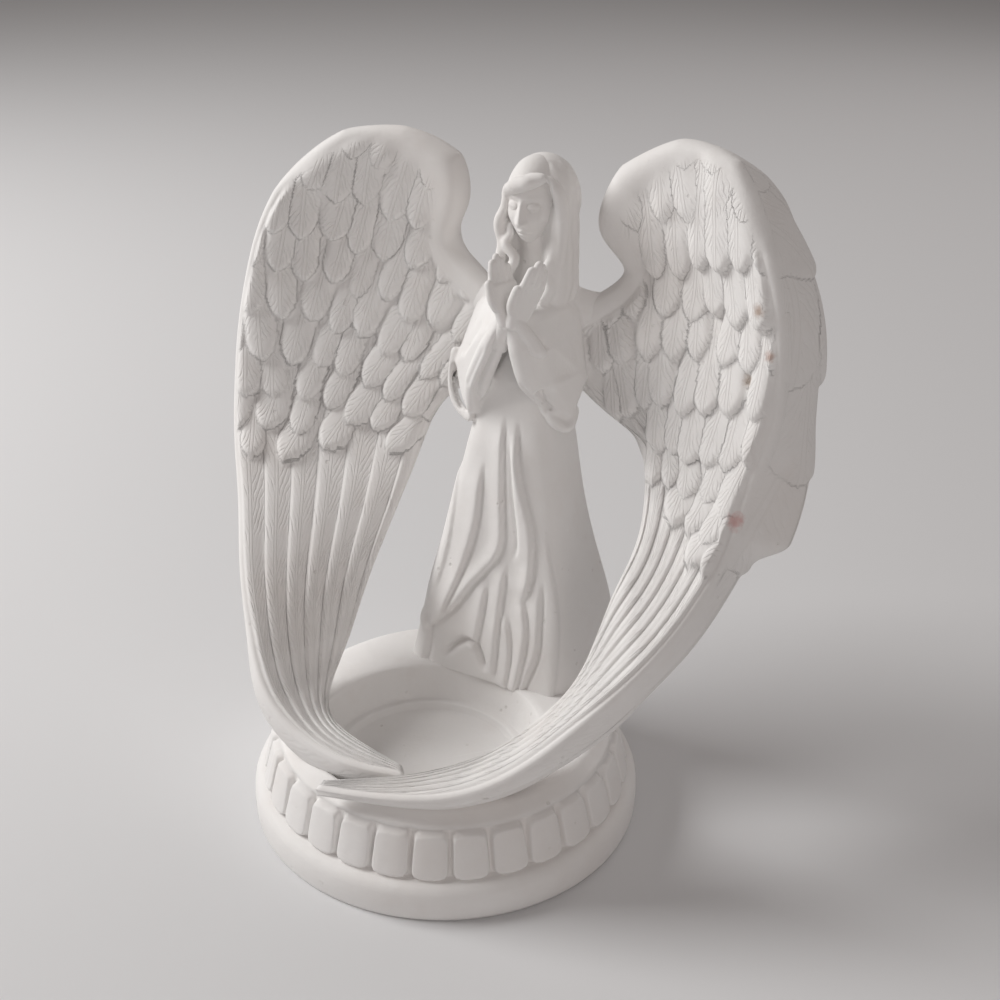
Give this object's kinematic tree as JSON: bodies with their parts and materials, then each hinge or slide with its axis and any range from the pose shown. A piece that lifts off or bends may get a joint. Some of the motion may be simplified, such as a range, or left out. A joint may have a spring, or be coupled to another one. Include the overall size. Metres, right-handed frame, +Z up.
{
  "type": "candle holder",
  "caption": "White plaster tealight holder: a robed, winged figure praying on a round pedestal, its feathered wings sweeping forward to ring the candle cup",
  "frame": {"origin": "centre of the pedestal's flat underside", "axes": "+Z up, the figure looks along -Y over the candle cup, +X is on the figure's left hand side"},
  "size_m": [0.1429, 0.0974, 0.1531],
  "materials": {
    "plaster": "bare cast gypsum plaster, matt chalky white, fine pits and soft mould detail"
  },
  "bodies": {
    "root": {"candle_holder": "plaster"}
  },
  "joints": []
}
